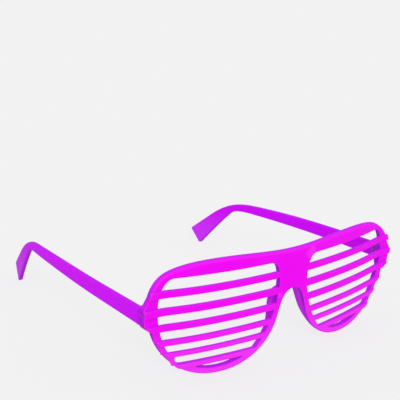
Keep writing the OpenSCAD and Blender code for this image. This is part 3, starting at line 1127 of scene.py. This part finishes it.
class Wiring:
    """Helpers that place and join shader nodes."""

    def __init__(self, tree: bpy.types.NodeTree) -> None:
        """Keeps the tree that the nodes go into."""
        self.tree = tree

    def node(self, kind: str, **values: object) -> bpy.types.Node:
        """Adds a node.

        Args:
            kind: Blender's name of its kind.
            values: Its properties.

        Returns:
            The node.
        """
        made = self.tree.nodes.new(kind)
        for key, value in values.items():
            setattr(made, key, value)
        return made

    def feed(self, value: object, socket: Socket) -> None:
        """Gives an input its value.

        Args:
            value: A number, a colour, or the output that it comes from.
            socket: The input.
        """
        if isinstance(value, Socket):
            self.tree.links.new(value, socket)
        else:
            socket.default_value = value

    def fill(self, made: bpy.types.Node, values: dict[str, object]) -> bpy.types.Node:
        """Gives a node's inputs their values.

        Args:
            made: The node.
            values: The value of each input that doesn't keep its default.

        Returns:
            The same node.
        """
        for label, value in values.items():
            self.feed(value, made.inputs[label])
        return made

    def effect(self, group: bpy.types.NodeTree, values: dict[str, object]) -> bpy.types.Node:
        """Adds a shared effect with the values of its inputs."""
        return self.fill(self.node("ShaderNodeGroup", node_tree=group), values)

    def math(self, operation: str, *values: object, clamp: bool = False) -> Socket:
        """Adds a Math node.

        Args:
            operation: Blender's name of the operation.
            values: Numbers or sockets.
            clamp: Whether the result is kept from 0 to 1.

        Returns:
            The result's socket.
        """
        made = self.node("ShaderNodeMath", operation=operation, use_clamp=clamp)
        for socket, value in zip(made.inputs, values):
            self.feed(value, socket)
        return made.outputs[0]

    def step(self, value: object, low: object, high: object) -> Socket:
        """A smooth step from 0 at low to 1 at high."""
        made = self.node("ShaderNodeMapRange", interpolation_type="SMOOTHSTEP")
        return self.fill(made, {"Value": value, "From Min": low, "From Max": high}).outputs["Result"]

    def noise(self, place: Socket, scale: float, detail: float = 2.0) -> Socket:
        """A noise value over a place."""
        made = self.node("ShaderNodeTexNoise")
        return self.fill(made, {"Vector": place, "Scale": scale, "Detail": detail}).outputs["Fac"]

    def mix(self, factor: object, a: object, b: object) -> Socket:
        """Adds a mix of two colours.

        Args:
            factor: The share of the second one.
            a, b: The colours.

        Returns:
            The mixed colour's socket.
        """
        made = self.node("ShaderNodeMix", data_type="RGBA")
        # A Mix node keeps its colours in sockets 6 and 7 and gives a colour as output 2.
        for number, value in ((0, factor), (6, a), (7, b)):
            self.feed(value, made.inputs[number])
        return made.outputs[2]

    def split(self, vector: Socket) -> bpy.types.bpy_prop_collection:
        """The outputs that hold a vector's X, Y and Z."""
        made = self.node("ShaderNodeSeparateXYZ")
        return self.fill(made, {"Vector": vector}).outputs


def new_group(name: str, takes: dict[str, tuple[str, object]], gives: dict[str, str]) -> tuple:
    """Makes an empty shader group with named sockets.

    Args:
        name: The group's name.
        takes: Kind and default of each input.
        gives: Kind of each output.

    Returns:
        The group, its wiring, what it is given, and the node that sends its results out.
    """
    group = bpy.data.node_groups.new(name, "ShaderNodeTree")
    for label, (kind, default) in takes.items():
        socket = group.interface.new_socket(name=label, in_out="INPUT", socket_type=kind)
        socket.default_value = default
    for label, kind in gives.items():
        group.interface.new_socket(name=label, in_out="OUTPUT", socket_type=kind)
    wiring = Wiring(group)
    return group, wiring, wiring.node("NodeGroupInput").outputs, wiring.node("NodeGroupOutput")


@cache
def pigment_and_painted_light() -> bpy.types.NodeTree:
    """Builds the plastic's colour with painted light and shade, by the way a face looks: faces that look
    outwards take the lit colour, paler low down; faces that look up take a painted ledge shading, faces
    turned aside or down a painted shade, and sharp edges a painted highlight.

    Returns:
        The group, the same one at each call.
    """
    colour, value, white = "NodeSocketColor", "NodeSocketFloat", (1, 1, 1, 1)
    # Thresholds of the painted light and shade: a back face's share of the lit colour, and the steps into the
    # lit colour, the ledge shading and the painted edge highlight.
    back_share, broad, ledge, sharp = 0.72, (0.3, 0.9), (0.2, 0.7), (0.505, 0.56)
    colours = {f"{name} Colour": (colour, white) for name in ("Face", "Low", "Ledge", "Wall", "Edge")}
    group, w, given, out = new_group(
        "moulded pigment",
        {**colours, "Front Share": (value, 1.0), "Side Share": (value, 0.0), "Low Height": (value, 0.0),
         "High Height": (value, 0.03), "Edge Amount": (value, 0.3), "Drift": (value, 0.1)},
        {"Colour": colour})
    place = w.node("ShaderNodeTexCoord").outputs
    normal, where = w.split(place["Normal"]), w.split(place["Object"])
    # How far a face looks outwards; such faces are painted as lit.
    ahead = w.math("MAXIMUM", w.math("MULTIPLY", normal["Y"], -1.0),
                   w.math("MULTIPLY", normal["Y"], back_share))
    aside = w.math("ABSOLUTE", normal["X"])
    outwards = w.math("ADD", w.math("MULTIPLY", ahead, given["Front Share"]),
                      w.math("MULTIPLY", aside, given["Side Share"]))
    # The lit colour, paler towards the bottom.
    rise = w.step(where["Z"], given["Low Height"], given["High Height"])
    face = w.mix(rise, given["Low Colour"], given["Face Colour"])
    # Painted shade on faces turned away: the ledge shading where they look up, the shaded wall colour
    # elsewhere; then the lit colour on faces that look outwards.
    turned = w.mix(w.step(normal["Z"], *ledge), given["Wall Colour"], given["Ledge Colour"])
    body = w.mix(w.step(outwards, *broad), turned, face)
    cloud = w.math("MULTIPLY", w.noise(place["Object"], 55.0, 3.0), given["Drift"])
    body = w.mix(cloud, body, given["Wall Colour"])
    # A painted highlight: sharp edges, found by pointiness, take the edge highlight colour.
    pointed = w.node("ShaderNodeNewGeometry").outputs["Pointiness"]
    edge = w.math("MULTIPLY", w.step(pointed, *sharp), given["Edge Amount"])
    w.fill(out, {"Colour": w.mix(edge, body, given["Edge Colour"])})
    return group


@cache
def mould_skin() -> bpy.types.NodeTree:
    """Builds the skin a polished mould leaves: a faint ripple, fine grain and hairline scuffs.

    Returns:
        The group, the same one at each call.
    """
    value = "NodeSocketFloat"
    fine, broad, scuff_dull, grain_dull = (0.66, 0.74), (0.5, 0.62), 0.35, 0.25
    group, w, given, out = new_group(
        "mould skin",
        {"Roughness": (value, 0.25), "Ripple": (value, 0.3), "Grain": (value, 0.2), "Scuffs": (value, 0.3)},
        {"Roughness": value, "Height": value})
    place = w.node("ShaderNodeTexCoord").outputs["Object"]
    ripple = w.math("MULTIPLY", w.noise(place, 120.0), given["Ripple"])
    grain = w.math("MULTIPLY", w.noise(place, 2600.0), given["Grain"])
    stretch = w.fill(w.node("ShaderNodeMapping"), {
        "Vector": place, "Rotation": (0.4, 0.2, 0.9), "Scale": (60.0, 1400.0, 1400.0)})
    hair = w.step(w.noise(stretch.outputs[0], 1.0, 3.0), *fine)
    patch = w.step(w.noise(place, 70.0), *broad)
    scuff = w.math("MULTIPLY", w.math("MULTIPLY", hair, patch), given["Scuffs"])
    height = w.math("SUBTRACT", w.math("ADD", ripple, grain), scuff)
    rough = w.math("ADD", given["Roughness"], w.math("MULTIPLY", scuff, scuff_dull))
    rough = w.math("ADD", rough, w.math("MULTIPLY", grain, grain_dull), clamp=True)
    w.fill(out, {"Roughness": rough, "Height": height})
    return group


@dataclass(frozen=True, kw_only=True)
class Finish:
    """A material under the skin that a polished mould leaves.

    Attributes:
        name: The material's name.
        roughness: Roughness of the polished skin.
        scuffs: Amount of hairline scuffs.
        bump: Strength of the skin's relief.
        relief: Height of the skin's relief, in metres.
    """

    name: str
    roughness: float = 0.3
    scuffs: float = 0.3
    bump: float = 0.12
    relief: float = 0.0002

    def body(self, w: Wiring) -> dict[str, object]:
        """What the finish gives its surface besides the skin; each kind has its own."""
        raise NotImplementedError

    def material(self) -> bpy.types.Material:
        """Makes the material at its first use.

        Returns:
            The material.
        """
        found = bpy.data.materials.get(self.name)
        if found:
            return found
        material = bpy.data.materials.new(self.name)
        material.use_nodes = True
        material.node_tree.nodes.clear()
        w = Wiring(material.node_tree)
        skin = w.effect(mould_skin(), {"Roughness": self.roughness, "Scuffs": self.scuffs}).outputs
        bump = w.fill(w.node("ShaderNodeBump"), {
            "Strength": self.bump, "Distance": self.relief, "Height": skin["Height"]})
        surface = w.fill(w.node("ShaderNodeBsdfPrincipled"), {
            **self.body(w), "Roughness": skin["Roughness"], "Normal": bump.outputs["Normal"]})
        w.fill(w.node("ShaderNodeOutputMaterial"), {"Surface": surface.outputs[0]})
        return material


@dataclass(frozen=True, kw_only=True)
class Plastic(Finish):
    """Bright injection-moulded plastic, with painted light and shade in its colours.

    Attributes:
        face: Colour of the broad faces that look outwards, the lit copy of the plastic's colour.
        low: Colour of the broad faces low down.
        ledge: Painted shading of the faces that look up.
        wall: Painted shade of the other edges, turned aside or down.
        edge: Colour of the painted highlight on the sharp edges.
        front_share: How far a face that looks forwards or back counts as broad and is painted as lit.
        side_share: How far a face that looks aside counts as broad and is painted as lit.
        low_z: Height below which the low colour is full, in metres.
        high_z: Height above which there is none of it, in metres.
        edge_amount: How much of the painted highlight the sharp edges take.
        drift: Amount of the slow change of colour.
        gloss: Specular level.
    """

    face: Colour
    low: Colour
    ledge: Colour
    wall: Colour
    edge: Colour
    front_share: float = 1.0
    side_share: float = 0.0
    low_z: float = 0.0
    high_z: float = 0.03
    edge_amount: float = 0.3
    drift: float = 0.08
    gloss: float = 0.035

    def body(self, w: Wiring) -> dict[str, object]:
        """Places the colour, with its painted light and shade.

        Args:
            w: The material's wiring.

        Returns:
            The surface's colour and specular level.
        """
        colour = w.effect(pigment_and_painted_light(), {
            "Face Colour": self.face, "Low Colour": self.low, "Ledge Colour": self.ledge,
            "Wall Colour": self.wall, "Edge Colour": self.edge, "Front Share": self.front_share,
            "Side Share": self.side_share, "Low Height": self.low_z, "High Height": self.high_z,
            "Edge Amount": self.edge_amount, "Drift": self.drift})
        return {"Base Color": colour.outputs["Colour"], "Specular IOR Level": self.gloss}


@dataclass(frozen=True, kw_only=True)
class Steel(Finish):
    """Lacquered metal of the small hinge parts.

    Attributes:
        colour: Its colour.
        metallic: How far it shines as bare metal.
        dark_share: Brightness of its darkest spots.
    """

    colour: Colour
    metallic: float = 0.0
    dark_share: float = 0.7
    scuffs: float = 0.8
    bump: float = 0.2
    relief: float = 0.0001

    def body(self, w: Wiring) -> dict[str, object]:
        """Mottles the colour.

        Args:
            w: The material's wiring.

        Returns:
            The surface's colour and how metallic it is.
        """
        spots = w.noise(w.node("ShaderNodeTexCoord").outputs["Object"], 900.0, 3.0)
        dark = (*(self.dark_share * c for c in self.colour[:3]), 1.0)
        return {"Base Color": w.mix(spots, self.colour, dark), "Metallic": self.metallic}


@dataclass
class Hinge:
    """The steel hinge of one side, whose solids are already the right shape."""

    side: Side

    def dress(self, leaf: Steel, screw: Steel) -> None:
        """Gives the two leaves and the screw their metal.

        Args:
            leaf: The finish of the leaves.
            screw: The finish of the screw.
        """
        for part, finish in (("front_hinge_leaf", leaf), ("temple_hinge_leaf", leaf), ("hinge_screw", screw)):
            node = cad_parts[f"{self.side.word}_{part}"]
            for slot in node.material_slots:
                slot.material = finish.material()


@dataclass
class Studio:
    """The floor, the light and the camera.

    Attributes:
        azimuth, elevation, roll: The direction the camera looks in, in degrees.
        aside, above: Where the model's origin lies from the middle of the view, in mm.
        distance: Distance from the camera to the origin along the view, in mm.
        lens: Focal length for the sensor's width.
        sensor: The sensor's width, in mm.
        nearest: Distance from the camera at which things start to show, in metres.
        floor_size: Length of the floor's side, in metres.
        pale: Brightness of the room, the same all round.
        floor_share: Share of the light that the floor sends back; the rest of it glows.
        key: Strength of the key light.
        key_from: Where the key light comes from.
        key_angle: How wide it looks, in degrees.
        dark_corners: Share of the room that reflections leave out.
    """

    azimuth: float = 38.85
    elevation: float = 15.42
    roll: float = 2.36
    aside: float = -6.35
    above: float = -51.0
    distance: float = 405.0
    lens: float = 69.13
    sensor: float = 36.0
    nearest: float = 0.01
    floor_size: float = 60.0
    pale: float = 0.888
    floor_share: float = 0.12
    key: float = 1.2
    key_from: tuple[float, float, float] = (-0.45, -0.7, 0.55)
    key_angle: float = 20.0
    dark_corners: float = 0.75

    def camera(self) -> None:
        """Adds the camera at the photograph's viewing angle."""
        a, e, r = (math.radians(v) for v in (self.azimuth, self.elevation, self.roll))
        forward = Vector((math.sin(a) * math.cos(e), math.cos(a) * math.cos(e), -math.sin(e)))
        right = Vector((math.cos(a), -math.sin(a), 0))
        up = right.cross(forward)
        right, up = right * math.cos(r) + up * math.sin(r), up * math.cos(r) - right * math.sin(r)
        eye = (-self.aside * right - self.above * up - self.distance * forward) * MM
        data = bpy.data.cameras.new("camera")
        data.lens, data.sensor_width = self.lens, self.sensor
        data.clip_start, data.clip_end = self.nearest, 2 * self.floor_size
        camera = add("camera", data)
        camera.matrix_world = Matrix((
            (right.x, up.x, -forward.x, eye.x), (right.y, up.y, -forward.y, eye.y),
            (right.z, up.z, -forward.z, eye.z), (0, 0, 0, 1)))
        bpy.context.scene.camera = camera

    def glow(self, w: Wiring, brightness: float) -> Socket:
        """Makes a brightness that polished surfaces mirror only in part, as in a room with dark corners.

        Args:
            w: The wiring of what glows.
            brightness: Its brightness.

        Returns:
            The socket of the brightness.
        """
        glossy = w.node("ShaderNodeLightPath").outputs["Is Glossy Ray"]
        kept = w.math("SUBTRACT", 1.0, w.math("MULTIPLY", glossy, self.dark_corners))
        return w.math("MULTIPLY", kept, brightness)

    def floor(self) -> None:
        """Adds a plain pale floor as bright as the room, so that it shows only faint shadows."""
        half = self.floor_size / 2
        mesh = bpy.data.meshes.new("floor")
        mesh.from_pydata([(-half, -half, 0), (half, -half, 0), (half, half, 0), (-half, half, 0)], [],
                         [(0, 1, 2, 3)])
        material = bpy.data.materials.new("pale floor")
        material.use_nodes = True
        lit = self.pale + self.key * Vector(self.key_from).normalized().z / math.pi
        w = Wiring(material.node_tree)
        w.fill(material.node_tree.nodes["Principled BSDF"], {
            "Base Color": (*(self.floor_share,) * 3, 1), "Emission Color": (1, 1, 1, 1),
            "Emission Strength": self.glow(w, self.pale - self.floor_share * lit),
            "Roughness": 0.9, "Specular IOR Level": 0.0})
        mesh.materials.append(material)
        floor = add("floor", mesh)

    def key_light(self) -> None:
        """Adds one wide soft light from beside the camera."""
        data = bpy.data.lights.new("key light", "SUN")
        data.energy, data.angle = self.key, math.radians(self.key_angle)
        light = add("key light", data)
        light.rotation_euler = (-Vector(self.key_from)).to_track_quat("-Z", "Y").to_euler()

    def build(self) -> None:
        """Sets up the world, the light, the floor and the camera."""
        scene = bpy.context.scene
        scene.view_settings.view_transform = "Standard"
        world = bpy.data.worlds.new("pale room")
        world.use_nodes = True
        w = Wiring(world.node_tree)
        w.fill(world.node_tree.nodes["Background"], {
            "Color": (1, 1, 1, 1), "Strength": self.glow(w, self.pale)})
        scene.world = world
        self.key_light()
        self.floor()
        self.camera()


# The plastics' colours carry painted light and shade: a lit colour on faces that look out, a painted shade on
# ledges and walls, and a painted highlight on sharp edges.
MAGENTA = Plastic(name="magenta plastic", face=linear(227, 0, 229), low=linear(226, 50, 232),
                  ledge=linear(204, 28, 236), wall=linear(162, 6, 206), edge=linear(240, 70, 235))
PURPLE = Plastic(name="purple plastic", face=linear(199, 2, 236), low=linear(194, 46, 232),
                 ledge=linear(192, 22, 234), wall=linear(160, 30, 202), edge=linear(205, 70, 235),
                 front_share=0.0, side_share=1.0, low_z=0.006, high_z=0.027, edge_amount=0.15)
LEAF_STEEL = Steel(name="lacquered hinge steel", colour=linear(150, 30, 196))
SCREW_STEEL = Steel(name="lacquered screw steel", colour=linear(164, 46, 206), roughness=0.25, metallic=0.1)


def main() -> None:
    """Builds the glasses and the studio."""
    logging.basicConfig(level=logging.INFO, format="%(name)s: %(message)s")
    Studio().build()
    drawing = FrontDrawing()
    front = Front(drawing)
    pieces = front.build()
    front.dress(pieces, MAGENTA)
    for piece in pieces:
        LOG.info("%s has %d faces", piece.name, len(piece.data.polygons))
    for side in Side:
        temple = Temple(side, drawing.front_y)
        arm = temple.build()
        temple.dress(arm, PURPLE)
        LOG.info("%s has %d faces", arm.name, len(arm.data.polygons))
        Hinge(side).dress(LEAF_STEEL, SCREW_STEEL)
        LOG.info("%s hinge is dressed", side.word)


if __name__ == "__main__":
    main()
